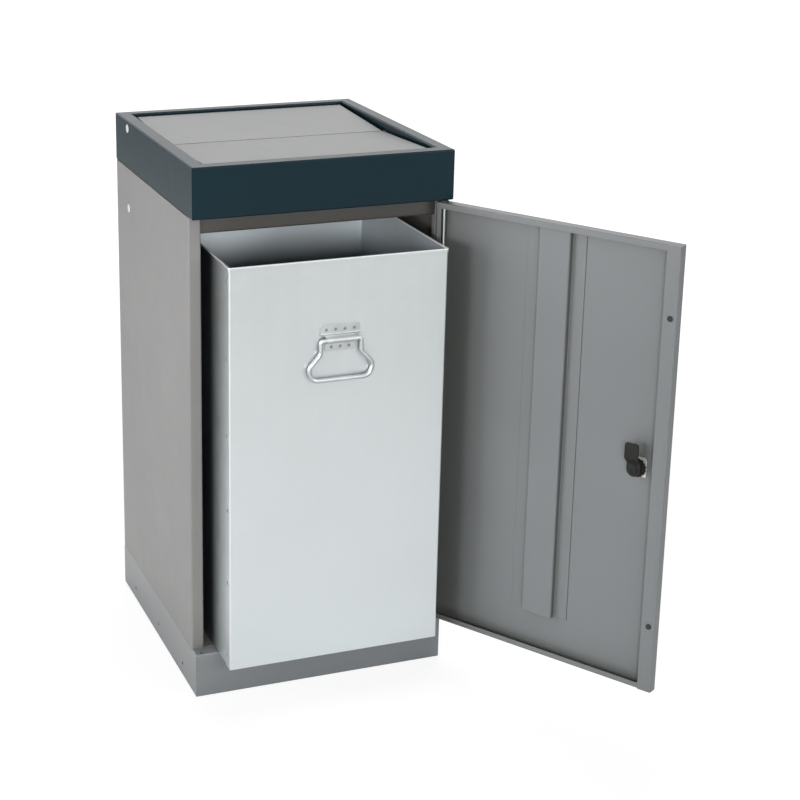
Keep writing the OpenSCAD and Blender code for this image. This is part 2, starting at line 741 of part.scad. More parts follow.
module handle_plate() {
    y0 = container_front_y;
    half = handle_plate_w / 2;
    barrel = handle_barrel_w / 2;
    top = handle_pivot_z + handle_plate_h;
    round_r = handle_t * 3;
    color(zinc) difference() {
        union() {
            translate([0, y0, 0]) rotate([90, 0, 0]) linear_extrude(handle_t) difference() {
                union() {
                    translate([-half, handle_pivot_z + handle_roll_r])
                        square([2 * half, handle_plate_h - handle_roll_r - round_r]);
                    translate([-half + round_r, top - 2 * round_r])
                        square([2 * half - 2 * round_r, 2 * round_r]);
                    for (s = [-1, 1]) translate([s * (half - round_r), top - round_r]) circle(r = round_r);
                    translate([-barrel, handle_pivot_z - handle_tongue_h])
                        square([2 * barrel, handle_tongue_h + handle_roll_r]);
                }
            }
            bar_x(-barrel, barrel, handle_y, handle_pivot_z, handle_roll_r);
            block([-barrel, handle_y, handle_pivot_z + handle_bore_r],
                [barrel, y0 - handle_t / 2, handle_pivot_z + handle_roll_r]);
            bar_x(-half + round_r, half - round_r, y0 - handle_t, handle_pivot_z + handle_roll_r + 2, handle_t * 0.9);
        }
        bar_x(-barrel - 1, barrel + 1, handle_y, handle_pivot_z, handle_bore_r);
        handle_rivet_places() bar_y(-3 * handle_t, tin, 0, 0, rivet_d / 2 + hole_room);
    }
}

module handle_rivets() color(zinc) handle_rivet_places() {
    bar_y(-handle_t, tin, 0, 0, rivet_d / 2);
    bar_y(-handle_t - 1, -handle_t, 0, 0, rivet_d * 0.8);
    bar_y(tin, 2 * tin, 0, 0, rivet_d * 0.8);
}

// One bend of a round wire in the plane of x and z, a hair thinner than the straights it joins
module wire_bend(centre, r, a0, a1) translate([centre.x, 0, centre.y]) rotate([90, 0, 0])
    rotate([0, 0, a0]) rotate_extrude(angle = a1 - a0) translate([r, 0]) circle(r = wire_d / 2 - wire_step);

// One straight stretch of a round wire in the plane of x and z, lapped over its neighbours
module wire_straight(a, b, lap_a, lap_b) translate([a.x, 0, a.y]) rotate([0, 90 - heading(a, b), 0])
    translate([0, 0, -lap_a]) cylinder(d = wire_d, h = norm(b - a) + lap_a + lap_b);

// A round wire along a path whose corners are rounded, each to its own radius
module wire(path, radii) {
    n = len(path);
    turns = [for (i = [1:1:n - 2]) wrapped(heading(path[i], path[i + 1]) - heading(path[i - 1], path[i]))];
    cuts = concat([0], [for (i = [1:1:n - 2]) radii[i - 1] * tan(abs(turns[i - 1]) / 2)], [0]);
    for (i = [0:1:n - 2]) {
        u = (path[i + 1] - path[i]) / norm(path[i + 1] - path[i]);
        wire_straight(path[i] + cuts[i] * u, path[i + 1] - cuts[i + 1] * u,
            i == 0 ? 0 : wire_lap, i == n - 2 ? 0 : wire_lap);
    }
    for (i = [1:1:n - 2]) {
        h = heading(path[i - 1], path[i]);
        s = sign(turns[i - 1]);
        start = path[i] - cuts[i] * [cos(h), sin(h)];
        centre = start + s * radii[i - 1] * [-sin(h), cos(h)];
        a = h - s * 90;
        wire_bend(centre, radii[i - 1], min(a, a + turns[i - 1]), max(a, a + turns[i - 1]));
    }
}

module handle_bail() {
    shoulder = bail_shoulder_w / 2;
    lobe = bail_w / 2;
    right = [[1, 0], [shoulder, 0], [shoulder, -bail_h * 0.34], [lobe, -bail_h * 0.68], [lobe - 6, -bail_h]];
    left = [for (i = [len(right) - 1:-1:0]) [-right[i].x, right[i].y]];
    radii = [4, 12, 12, 13];
    color(zinc) translate([0, handle_y, handle_pivot_z])
        wire(concat(right, left), [for (i = [0:7]) radii[min(i, 7 - i)]]);
}

plinth();
floor_panel();
left_side_panel();
right_side_panel();
back_panel();
upper_rail();
hood_brackets();
hood_frame();
hood_screws();
side_plugs();
flap_bushes();
hinge_rod();
flap_front_leaf();
flap_rear_leaf();
flap_web();
flap_pivots();
flap_balance_bar();
flap_rivets();
door_pan();
door_stiffener();
door_bushes();
door_buffers();
lock_barrel();
lock_plate();
lock_nut();
lock_core();
lock_cam();
cam_screw();
container_shell();
container_front();
container_base();
container_rivets();
handle_plate();
handle_rivets();
handle_bail();
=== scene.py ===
"""Looks of a steel recycling bin: a hood with a push flap, a door, and a galvanised inner container."""

from __future__ import annotations

import logging
import math
from dataclasses import dataclass, field
from enum import Enum

import bpy
import numpy as np
from mathutils import Matrix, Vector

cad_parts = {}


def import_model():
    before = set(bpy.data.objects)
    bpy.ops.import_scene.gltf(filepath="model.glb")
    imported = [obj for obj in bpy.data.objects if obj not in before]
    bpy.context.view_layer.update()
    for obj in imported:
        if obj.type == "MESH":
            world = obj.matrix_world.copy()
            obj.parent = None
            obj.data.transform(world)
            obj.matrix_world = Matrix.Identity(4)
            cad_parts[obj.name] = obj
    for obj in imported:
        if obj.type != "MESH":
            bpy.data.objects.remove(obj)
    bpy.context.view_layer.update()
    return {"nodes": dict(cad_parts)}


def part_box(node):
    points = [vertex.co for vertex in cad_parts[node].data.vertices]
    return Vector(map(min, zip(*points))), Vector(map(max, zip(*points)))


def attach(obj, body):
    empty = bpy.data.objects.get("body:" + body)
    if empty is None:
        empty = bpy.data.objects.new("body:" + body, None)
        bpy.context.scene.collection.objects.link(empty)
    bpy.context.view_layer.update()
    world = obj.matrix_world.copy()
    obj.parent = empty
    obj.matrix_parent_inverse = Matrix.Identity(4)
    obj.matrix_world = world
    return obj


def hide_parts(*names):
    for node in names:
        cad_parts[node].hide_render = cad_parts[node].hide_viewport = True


log = logging.getLogger("bin")

MM = 0.001
SHARP_ABOVE = math.radians(38.0)
BEVEL_ABOVE = math.radians(50.0)
Colour = tuple[float, float, float]
Point = tuple[float, float, float]
Pair = tuple[float, float]
Feed = object


# Shader expressions


@dataclass(frozen=True)
class Value:
    """A number that varies over a surface: a socket and its graph, so that shader maths reads as Python."""

    graph: Graph
    socket: bpy.types.NodeSocket

    def _maths(self, operation: str, first: Feed, second: Feed = 0.0) -> Value:
        """The result of one Math node on one or two numbers or values."""
        return self.graph.value("ShaderNodeMath", {"operation": operation}, {0: first, 1: second})

    def __add__(self, other: Feed) -> Value:
        """This plus other."""
        return self._maths("ADD", self, other)

    def __radd__(self, other: Feed) -> Value:
        """Other plus this."""
        return self._maths("ADD", other, self)

    def __sub__(self, other: Feed) -> Value:
        """This minus other."""
        return self._maths("SUBTRACT", self, other)

    def __rsub__(self, other: Feed) -> Value:
        """Other minus this."""
        return self._maths("SUBTRACT", other, self)

    def __mul__(self, other: Feed) -> Value:
        """This times other."""
        return self._maths("MULTIPLY", self, other)

    def __rmul__(self, other: Feed) -> Value:
        """Other times this."""
        return self._maths("MULTIPLY", other, self)

    def __abs__(self) -> Value:
        """This without its sign."""
        return self._maths("ABSOLUTE", self)

    def ramp(self, low: float, high: float) -> Value:
        """This rescaled and eased, so that low gives 0 and high gives 1, and held outside them."""
        return self.graph.value("ShaderNodeMapRange", {"interpolation_type": "SMOOTHSTEP"},
                                {"Value": self, "From Min": low, "From Max": high})


class Graph:
    """The node tree of one material or of the world."""

    def __init__(self, tree: bpy.types.NodeTree) -> None:
        """Empties the tree and keeps it."""
        self.tree = tree
        tree.nodes.clear()

    def node(self, kind: str, settings: dict[str, object] | None = None,
             inputs: dict[str | int, Feed] | None = None) -> bpy.types.Node:
        """Adds a node.

        Args:
            kind: the node's type.
            settings: what is set on the node itself, before its sockets.
            inputs: a number, colour, value, node or socket for each named or counted socket.

        Returns:
            The new node.
        """
        made = self.tree.nodes.new(kind)
        for name, setting in (settings or {}).items():
            setattr(made, name, setting)
        for name, feed in (inputs or {}).items():
            socket = made.inputs[name]
            if isinstance(feed, Value):
                feed = feed.socket
            elif isinstance(feed, bpy.types.Node):
                feed = feed.outputs[0]
            if isinstance(feed, bpy.types.NodeSocket):
                self.tree.links.new(feed, socket)
            elif isinstance(feed, tuple) and socket.type == "RGBA":
                socket.default_value = (*feed[:3], 1.0)
            else:
                socket.default_value = feed
        return made

    def value(self, kind: str, settings: dict[str, object] | None = None,
              inputs: dict[str | int, Feed] | None = None, output: str | int = 0) -> Value:
        """One output, by its name or number, of a node that is added as node() does."""
        return Value(self, self.node(kind, settings, inputs).outputs[output])

    def place(self, stretch: Point = (1.0, 1.0, 1.0)) -> Value:
        """The point on the piece in metres, stretched along X, Y and Z."""
        where = self.node("ShaderNodeTexCoord").outputs["Object"]
        return self.value("ShaderNodeMapping", None, {"Vector": where, "Scale": stretch})

    def axis(self, name: str) -> Value:
        """How far the point lies along one axis, in metres."""
        return self.value("ShaderNodeSeparateXYZ", None, {"Vector": self.place()}, name)

    def noise(self, scale: float, detail: float = 2.0, stretch: Point = (1.0, 1.0, 1.0)) -> Value:
        """Noise from 0 to 1, by its clouds in a metre, its finer layers and its stretch on X, Y and Z."""
        return self.value("ShaderNodeTexNoise", None, {"Vector": self.place(stretch), "Scale": scale,
                                                       "Detail": detail, "Roughness": 0.55})

    def mix(self, factor: Feed, first: Feed, second: Feed) -> bpy.types.NodeSocket:
        """A colour between two others: a factor of 0 gives the first and 1 the second."""
        made = self.node("ShaderNodeMix", {"data_type": "RGBA"}, {0: factor, 6: first, 7: second})
        return made.outputs[2]

    def rounded(self, radius: float) -> bpy.types.Node:
        """The surface's normal with its edges rounded to a radius in metres."""
        return self.node("ShaderNodeBevel", {"samples": 4}, {"Radius": radius})

    def open_air(self, reach: float, low: float, high: float) -> Value:
        """How open a place is: the share of ways free for a reach in metres, ramped from low to high; the
        finishes paint shade with it.
        """
        share = self.value("ShaderNodeAmbientOcclusion", {"samples": 6}, {"Distance": reach}, "AO")
        return share.ramp(low, high)

    def sight(self) -> tuple[Value, Value]:
        """1 on what the camera sees, also through something clear, and 1 on what a gloss reflects."""
        rays = self.node("ShaderNodeLightPath")
        seen = Value(self, rays.outputs["Is Camera Ray"]) + Value(self, rays.outputs["Is Transmission Ray"])
        return seen, Value(self, rays.outputs["Is Glossy Ray"])

    def bump(self, height: Feed, depth: float, strength: float,
             normal: Feed | None = None) -> bpy.types.Node:
        """A normal, or the surface's own, tilted by a height whose 1 stands for a depth in metres."""
        inputs = {"Height": height, "Distance": depth, "Strength": strength}
        return self.node("ShaderNodeBump", None, inputs | ({} if normal is None else {"Normal": normal}))


# Finishes


def shaded(colour: Colour, factor: float) -> Colour:
    """A colour that is darker or lighter by a factor."""
    return tuple(part * factor for part in colour)


@dataclass(frozen=True)
class Finish:
    """What every finish has: a name, its material slot in the record and its edge radius."""

    name: str
    slot: str
    edge: float = 0.5 * MM

    def dress(self, graph: Graph) -> bpy.types.Node:
        """Builds the shader in the graph and returns it."""
        raise NotImplementedError

    def material(self) -> bpy.types.Material:
        """The finish as a material, made the first time that it is asked for."""
        found = bpy.data.materials.get(self.name)
        if found is not None:
            return found
        made = bpy.data.materials.new(self.name)
        made.use_nodes = True
        graph = Graph(made.node_tree)
        graph.node("ShaderNodeOutputMaterial", None, {"Surface": self.dress(graph)})
        return made


@dataclass(frozen=True)
class PowderCoat(Finish):
    """Baked powder paint on sheet steel: fine orange peel, faint unevenness, and painted shade in creases.
    """

    colour: Colour = (0.27, 0.275, 0.275)
    roughness: float = 0.42
    scuffing: float = 0.10
    peel: float = 0.05
    peel_depth: float = 0.15 * MM
    shade: float = 0.04
    index: float = 1.5
    # Painted shade: the colour darkens towards a tinted copy where little is open within the reach.
    reach: float = 160.0 * MM
    shade_openness: Pair = (0.2, 0.95)
    painted_shade_tint: Colour = (0.55, 0.54, 0.48)

    def dress(self, graph: Graph) -> bpy.types.Node:
        """Colour drifts slowly and is painted darker as shade in creases, roughness drifts faster, and the
        peel is a bump.
        """
        drift = graph.noise(scale=3.0)
        scuff = graph.noise(scale=26.0, detail=3.0)
        peel = graph.noise(scale=900.0, detail=1.0)
        # Painted shade: the colour that creases and places near large parts are darkened to.
        shaded_paint = tuple(part * dark for part, dark in zip(self.colour, self.painted_shade_tint))
        open_paint = graph.mix(drift.ramp(0.35, 0.65), shaded(self.colour, 1.0 - self.shade),
                               shaded(self.colour, 1.0 + self.shade))
        return graph.node("ShaderNodeBsdfPrincipled", None, {
            "Base Color": graph.mix(graph.open_air(self.reach, *self.shade_openness), shaded_paint, open_paint),
            "Roughness": self.roughness + (scuff - 0.5) * self.scuffing,
            "IOR": self.index,
            "Normal": graph.bump(peel, self.peel_depth, self.peel, graph.rounded(self.edge)),
        })


@dataclass(frozen=True)
class Galvanised(Finish):
    """Hot-dip zinc on the container's sheet, with faint spangle and streaks.

    Outside it is a pale metal, paler towards the foot, with painted shade in creases. Inside it is a
    brighter matte copy that paints light high at the back, with painted shade lower, forward and on the
    right wall. The hem on top has a painted highlight.
    """

    colour: Colour = (0.685, 0.724, 0.730)
    foot_colour: Colour = (0.905, 0.960, 0.970)
    # Painted light inside: a brighter matte copy of the sheet; the colour after it paints shade inside and
    # in creases outside.
    inner_lit_colour: Colour = (0.88, 0.965, 1.0)
    painted_shade_colour: Colour = (0.26, 0.29, 0.32)
    # Painted highlight: the pale colour of the hem on top.
    hem_highlight_colour: Colour = (0.93, 0.95, 0.96)
    spangled: float = 0.10
    streaked: float = 0.4
    clouded: float = 0.3
    dark: float = 0.93
    pale: float = 1.06
    roughness: float = 0.36
    # The hem's painted highlight is partly not metal.
    hem_highlight_metal_loss: float = 0.5
    inner_half: float = 164.5 * MM
    inner_front: float = -271.5 * MM
    inner_back: float = 55.5 * MM
    wall_step: float = 0.2 * MM
    top: float = 687.6 * MM
    top_step: float = 0.3 * MM
    foot_to_top: Pair = (60.0 * MM, 690.0 * MM)
    # Where the inside's painted light and shade fall: lit high and at the back, painted shade lower, forward
    # and on the right wall.
    lit_height: Pair = (560.0 * MM, 650.0 * MM)
    lit_depth: Pair = (-300.0 * MM, 40.0 * MM)
    right_wall: Pair = (163.4 * MM, 163.6 * MM)
    lit_forward: float = 0.4
    wall_shade: float = 0.6
    wall_shade_eased: float = 0.25
    # Painted shade in the outside's creases: darker where little is open within the reach.
    reach: float = 160.0 * MM
    shade_openness: Pair = (0.08, 0.8)

    def inside(self, graph: Graph) -> Value:
        """1 on the faces that look into the container, and 0 on those that look out of it."""
        x, y = graph.axis("X"), graph.axis("Y")
        step = self.wall_step
        between_sides = abs(x).ramp(self.inner_half + step, self.inner_half - step)
        behind_front = y.ramp(self.inner_front - step, self.inner_front + step)
        before_back = y.ramp(self.inner_back + step, self.inner_back - step)
        return between_sides * behind_front * before_back

    def inner_light_share(self, graph: Graph) -> Value:
        """Painted light inside: 1 high at the back; less lower, forward and on the right wall, where shade
        is painted.
        """
        high = graph.axis("Z").ramp(*self.lit_height)
        back = graph.axis("Y").ramp(*self.lit_depth)
        wall = graph.axis("X").ramp(*self.right_wall)
        depth = back * (1.0 - self.lit_forward) + self.lit_forward
        return high * depth * (1.0 - wall * (self.wall_shade - back * self.wall_shade_eased))

    def dress(self, graph: Graph) -> bpy.types.Node:
        """Spangle is the colour of small cells, streaks are noise drawn out along Z, and both stay faint."""
        cells = graph.node("ShaderNodeTexVoronoi", {"feature": "F1"},
                           {"Vector": graph.place(), "Scale": 90.0})
        spangle = graph.value("ShaderNodeSeparateColor", None, {"Color": cells.outputs["Color"]})
        streak = graph.noise(scale=60.0, detail=3.0, stretch=(1.0, 1.0, 0.03))
        cloud = graph.noise(scale=7.0, detail=3.0)
        inside = self.inside(graph)
        # Painted highlight: the hem on top is pale and less metallic, standing in for light along its edge.
        hem = graph.axis("Z").ramp(self.top, self.top + self.top_step)
        tone = (spangle - 0.5) * self.spangled + (streak - 0.5) * self.streaked
        tone = tone + (cloud - 0.5) * self.clouded + 0.5
        upper = graph.mix(tone, shaded(self.colour, self.dark), shaded(self.colour, self.pale))
        sheet = graph.mix(graph.axis("Z").ramp(*self.foot_to_top), self.foot_colour, upper)
        # Painted shade outside in creases; inside, painted light high at the back and painted shade
        # elsewhere.
        outer = graph.mix(graph.open_air(self.reach, *self.shade_openness), self.painted_shade_colour, sheet)
        inner = graph.mix(self.inner_light_share(graph), self.painted_shade_colour, self.inner_lit_colour)
        # The hem's painted highlight takes away some of its metal.
        hem_highlight_loss = hem * self.hem_highlight_metal_loss * (1.0 - inside)
        # The inside is matte as part of its painted light.
        return graph.node("ShaderNodeBsdfPrincipled", None, {
            "Base Color": graph.mix(hem, graph.mix(inside, outer, inner), self.hem_highlight_colour),
            "Metallic": 1.0 - inside - hem_highlight_loss,
            "Roughness": self.roughness + (cloud - 0.5) * 0.06 + (spangle - 0.5) * 0.02,
            "Normal": graph.bump(streak, depth=0.04 * MM, strength=0.10, normal=graph.rounded(self.edge)),
        })


@dataclass(frozen=True)
class Plated(Finish):
    """Metal with a thin plating: bright zinc, or black passivation."""

    colour: Colour = (0.62, 0.65, 0.66)
    roughness: float = 0.28
    metal: float = 1.0
    index: float = 1.5
    dark: float = 0.86
    mottling: float = 0.14

    def dress(self, graph: Graph) -> bpy.types.Node:
        """A slow cloud darkens the colour, and a fine mottle moves the roughness and the surface."""
        mottle = graph.noise(scale=140.0, detail=3.0)
        cloud = graph.noise(scale=30.0)
        rounded = graph.rounded(self.edge) if self.edge else None
        return graph.node("ShaderNodeBsdfPrincipled", None, {
            "Base Color": graph.mix(cloud.ramp(0.3, 0.7), shaded(self.colour, self.dark), self.colour),
            "Metallic": self.metal,
            "Roughness": self.roughness + (mottle - 0.5) * self.mottling,
            "IOR": self.index,
            "Normal": graph.bump(mottle, depth=0.04 * MM, strength=0.15, normal=rounded),
        })


@dataclass(frozen=True)
class Moulded(Finish):
    """Moulded plastic or rubber, faintly textured."""

    colour: Colour = (0.02, 0.02, 0.02)
    roughness: float = 0.55
    grain: float = 0.12

    def dress(self, graph: Graph) -> bpy.types.Node:
        """A fine grain gives the bump, and slow wear lightens the colour and moves the roughness."""
        grain = graph.noise(scale=1400.0)
        worn = graph.noise(scale=90.0)
        light = tuple(part * 1.25 + 0.004 for part in self.colour)
        return graph.node("ShaderNodeBsdfPrincipled", None, {
            "Base Color": graph.mix(worn.ramp(0.4, 0.8), self.colour, light),
            "Roughness": self.roughness + (worn - 0.5) * 0.12,
            "Normal": graph.bump(grain, 0.08 * MM, strength=self.grain, normal=graph.rounded(self.edge)),
        })


class Finishes(Enum):
    """Every finish on the bin."""

    # Every powder coat paints shade into its colour in creases and near large parts.
    CABINET = PowderCoat("cabinet_powder_coat", "cabinet_paint", colour=(0.264, 0.259, 0.258))
    # Painted shade: the cabinet paint, darkened on the rail that lies in the hood's shade.
    SHADED_RAIL = PowderCoat("rail_shaded_powder_coat", "cabinet_paint", colour=(0.074, 0.071, 0.066))
    # The plinth's painted shade has a bluer tint.
    PLINTH = PowderCoat("plinth_powder_coat", "plinth_paint", colour=(0.308, 0.313, 0.315),
                        painted_shade_tint=(0.50, 0.54, 0.57))
    DOOR = PowderCoat("door_powder_coat", "door_paint", colour=(0.186, 0.196, 0.202))
    FLAP = PowderCoat("flap_powder_coat", "flap_paint", colour=(0.230, 0.232, 0.238), roughness=0.36)
    HOOD = PowderCoat("hood_powder_coat", "hood_paint", colour=(0.0050, 0.0228, 0.0322),
                      roughness=0.25, index=1.31)
    CONTAINER = Galvanised("container_zinc_sheet", "galvanised_sheet")
    ZINC = Plated("bright_zinc", "zinc_steel")
    ROD = Plated("rod_zinc", "zinc_steel", edge=0.0, colour=(0.78, 0.80, 0.80), roughness=0.34)
    # Painted shadow: the flap's web is near black so that the slit between the leaves reads as a dark gap.
    SHADOW_WEB = PowderCoat("web_painted_shadow_coat", "flap_paint", colour=(0.012, 0.013, 0.014), roughness=0.6)
    HANDLE = Plated("handle_zinc", "zinc_steel", edge=0.0, colour=(0.66, 0.69, 0.695), roughness=0.34)
    RIVET = Plated("dull_rivet_steel", "zinc_steel", colour=(0.29, 0.30, 0.305), roughness=0.5, metal=0.6)
    LOCK_PLATE = Plated("pale_zinc", "zinc_steel", colour=(0.74, 0.73, 0.69), roughness=0.5, metal=0.5)
    BLACK_STEEL = Plated("black_passivated_steel", "black_steel", colour=(0.012, 0.0115, 0.0105),
                         roughness=0.6, metal=0.0, index=1.35)
    BUSH = Moulded("bush_plastic", "black_plastic", colour=(0.018, 0.018, 0.018), roughness=0.5)
    RUBBER = Moulded("buffer_rubber", "black_rubber", colour=(0.022, 0.022, 0.023), roughness=0.7)
    PLUG = Moulded("plug_plastic", "plug_plastic", colour=(0.62, 0.63, 0.62), roughness=0.4)


# Surfaces, in millimetres until a piece is made


def joined(*coordinates: np.ndarray | tuple[float, ...] | float) -> np.ndarray:
    """Points from their coordinates, each an array or one number for all of them."""
    return np.stack(np.broadcast_arrays(*coordinates), axis=-1)


def linked(rows: int, columns: int, ring_rows: bool = False, ring_columns: bool = False) -> np.ndarray:
    """Faces between neighbours in a grid of points that is counted row by row.

    Args:
        rows: how many rows there are.
        columns: how many points there are in a row.
        ring_rows: whether the last row joins the first.
        ring_columns: whether each row closes on itself.

    Returns:
        Four point numbers a face, whose normal is the way along a row crossed with the way to the next.
    """
    i, j = np.meshgrid(np.arange(rows if ring_rows else rows - 1),
                       np.arange(columns if ring_columns else columns - 1), indexing="ij")
    up, on = (i + 1) % rows, (j + 1) % columns
    corners = [i * columns + j, i * columns + on, up * columns + on, up * columns + j]
    return joined(*corners).reshape(-1, 4)


class Way(Enum):
    """The ways that the axis of a turned piece can point."""

    LEFT = (-1.0, 0.0, 0.0)
    RIGHT = (1.0, 0.0, 0.0)
    FRONT = (0.0, -1.0, 0.0)
    BACK = (0.0, 1.0, 0.0)
    UP = (0.0, 0.0, 1.0)
    DOWN = (0.0, 0.0, -1.0)


@dataclass
class Surface:
    """Points and faces of one closed surface or of several."""

    points: np.ndarray
    faces: list[np.ndarray]

    def __add__(self, other: Surface) -> Surface:
        """This and the other as one."""
        later = [block + len(self.points) for block in other.faces]
        return Surface(np.concatenate([self.points, other.points]), self.faces + later)

    def aimed(self, way: Way) -> Surface:
        """This with its Z axis turned to a way, by the frame of that way and two directions square to it."""
        axis = np.array(way.value)
        side = np.cross([1.0, 0.0, 0.0] if way in (Way.UP, Way.DOWN) else [0.0, 0.0, 1.0], axis)
        return Surface(self.points @ np.stack([side, np.cross(axis, side), axis]), self.faces)

    def at(self, places: np.ndarray) -> Surface:
        """A copy of this at each place.

        Args:
            places: one place, or a row for each.

        Returns:
            All the copies.
        """
        places = np.atleast_2d(places)
        count, size = len(places), len(self.points)
        first = np.arange(count)[:, None, None] * size
        return Surface((self.points[None] + places[:, None]).reshape(-1, 3),
                       [(block[None] + first).reshape(-1, block.shape[1]) for block in self.faces])

    def mirrored(self) -> Surface:
        """This and its mirror image across the plane x = 0, whose faces are turned round."""
        twin = Surface(self.points * [-1.0, 1.0, 1.0], [block[:, ::-1] for block in self.faces])
        return self + twin

    def swung(self, hinge: np.ndarray, angle: float) -> Surface:
        """This turned about an upright line.

        Args:
            hinge: where the line passes, in x and y.
            angle: the turn in degrees, anticlockwise from above.

        Returns:
            The turned surface.
        """
        turn = math.radians(angle)
        around = np.array([[math.cos(turn), math.sin(turn)], [-math.sin(turn), math.cos(turn)]])
        points = self.points.copy()
        points[:, :2] = (points[:, :2] - hinge) @ around + hinge
        return Surface(points, self.faces)


@dataclass
class Path:
    """A path of straights and arcs in a plane: its points, and the heading at each in radians."""

    points: np.ndarray
    headings: np.ndarray

    @classmethod
    def rounded(cls, corners: list[Pair], radii: list[float], steps: int) -> Path:
        """A path whose corners are arcs: at each, the cut is r tan(turn / 2) before and after the corner.

        Args:
            corners: its ends, and the corners between them.
            radii: the radius of the arc at each corner between the ends.
            steps: how many parts each arc has.

        Returns:
            The path.
        """
        at = np.array(corners, float)
        run = np.diff(at, axis=0)
        heading = np.arctan2(run[:, 1], run[:, 0])
        turn = (np.diff(heading) + np.pi) % (2.0 * np.pi) - np.pi
        radius = np.array(radii, float)
        along = joined(np.cos(heading[:-1]), np.sin(heading[:-1]))
        left = joined(-along[:, 1], along[:, 0]) * np.sign(turn)[:, None]
        start = at[1:-1] - along * (radius * np.tan(np.abs(turn) / 2.0))[:, None]
        centre = start + left * radius[:, None]
        part = heading[:-1, None] + turn[:, None] * np.linspace(0.0, 1.0, steps + 1)
        side = joined(np.sin(part), -np.cos(part)) * np.sign(turn)[:, None, None]
        arcs = (centre[:, None] + side * radius[:, None, None]).reshape(-1, 2)
        return cls(np.concatenate([at[:1], arcs, at[-1:]]),
                   np.concatenate([heading[:1], part.reshape(-1), heading[-1:]]))

    def __add__(self, other: Path) -> Path:
        """This path and then the other."""
        headings = np.concatenate([self.headings, other.headings])
        return Path(np.concatenate([self.points, other.points]), headings)

    def beside(self, distance: float) -> np.ndarray:
        """The path's points, each moved to the left of its heading by a distance."""
        return self.points + distance * joined(-np.sin(self.headings), np.cos(self.headings))


def tube(rows: np.ndarray, ring: bool = False) -> Surface:
    """A surface over rows of points that each close on themselves.

    Args:
        rows: the points, row by row.
        ring: whether the last row joins the first; otherwise flat ends close it.

    Returns:
        The closed surface.
    """
    count, steps = rows.shape[:2]
    faces = [linked(count, steps, ring, True)]
    if not ring:
        faces += [np.arange(steps)[None, ::-1], np.arange(steps)[None] + (count - 1) * steps]
    return Surface(rows.reshape(-1, 3), faces)


def turned(profile: np.ndarray, steps: int, ring: bool = False) -> Surface:
    """A surface of revolution about Z, (r cos a, r sin a, h) for each (r, h) of a profile going up.

    Args:
        profile: radius and height of each row.
        steps: how many points go round.
        ring: whether the profile closes on itself, as round a bore.

    Returns:
        The closed surface.
    """
    angle = np.arange(steps) * (2.0 * np.pi / steps)
    radius, height = profile[:, :1], profile[:, 1:]
    return tube(joined(radius * np.cos(angle), radius * np.sin(angle), height), ring)


def wire(path: Path, radius: float, steps: int = 20) -> Surface:
    """A round wire along a path in the plane of x and z.

    Its points are p + r (cos a e + sin a f), with p on the path, e along Y and f the heading crossed with e.

    Args:
        path: the wire's centre line.
        radius: the wire's radius.
        steps: how many points go round.

    Returns:
        The closed surface.
    """
    angle = np.arange(steps)[:, None] * (2.0 * np.pi / steps)
    centre = joined(path.points[:, 0], 0.0, path.points[:, 1])
    along = joined(np.cos(path.headings), 0.0, np.sin(path.headings))
    first = np.array([0.0, 1.0, 0.0])
    second = np.cross(along, first)[:, None]
    return tube(centre[:, None] + radius * (np.cos(angle) * first + np.sin(angle) * second))


def slab(front: np.ndarray, back: np.ndarray) -> Surface:
    """A plate between two grids of points: the front, the back turned round, and a strip along the border.

    Args:
        front: rows going up, each running to the right as seen from the front.
        back: the same grid on the plate's other face.

    Returns:
        The closed surface.
    """
    rows, columns = front.shape[:2]
    size = rows * columns
    number = np.arange(size).reshape(rows, columns)
    border = np.concatenate([number[0, :-1], number[:-1, -1], number[-1, :0:-1], number[:0:-1, 0]])
    onward = np.roll(border, -1)
    strip = joined(border + size, onward + size, onward, border)
    face = linked(rows, columns)
    return Surface(np.concatenate([front.reshape(-1, 3), back.reshape(-1, 3)]),
                   [face, face[:, ::-1] + size, strip])


def pressed(path: Path, half: np.ndarray, thick: float) -> Surface:
    """A sheet whose middle follows a path in the plane of y and z, and reaches from -w to w in x along it.

    Args:
        path: the sheet's middle, going up.
        half: half the sheet's width at each point of the path.
        thick: its thickness.

    Returns:
        The closed surface.
    """
    x = half[:, None] * np.linspace(-1.0, 1.0, 9)
    sides = (path.beside(thick / 2.0), path.beside(-thick / 2.0))
    return slab(*(joined(x, side[:, :1], side[:, 1:]) for side in sides))


def upright(half: float, low: float, high: float, corners: Pair, y: float) -> tuple[Path, np.ndarray]:
    """The middle line and half widths of a flat plate with rounded corners, which stands at a constant y.

    Near an end, w = half - c + sqrt(c^2 - (c - d)^2) for the corner radius c and the distance d to that end.

    Args:
        half: half the plate's width.
        low: its lower end.
        high: its upper end.
        corners: the radius of the lower and of the upper corners.
        y: where its middle lies.

    Returns:
        The line, going up, and half the width at each of its points.
    """
    bend = 1.0 - np.cos(np.linspace(0.0, np.pi / 2.0, 7))
    z = np.concatenate([low + corners[0] * bend, high - corners[1] * bend[::-1]])
    short = [np.clip(corner - gap, 0.0, corner) for corner, gap in zip(corners, (z - low, high - z))]
    w = half - sum(corner - np.sqrt(corner ** 2 - gap ** 2) for corner, gap in zip(corners, short))
    return Path(joined(y, z), np.full_like(z, np.pi / 2.0)), w


def added(name: str, data: bpy.types.ID) -> bpy.types.Object:
    """Adds an object to the scene.

    Args:
        name: its name.
        data: its mesh, lamp or camera.

    Returns:
        The new object.
    """
    made = bpy.data.objects.new(name, data)
    bpy.context.scene.collection.objects.link(made)
    return made


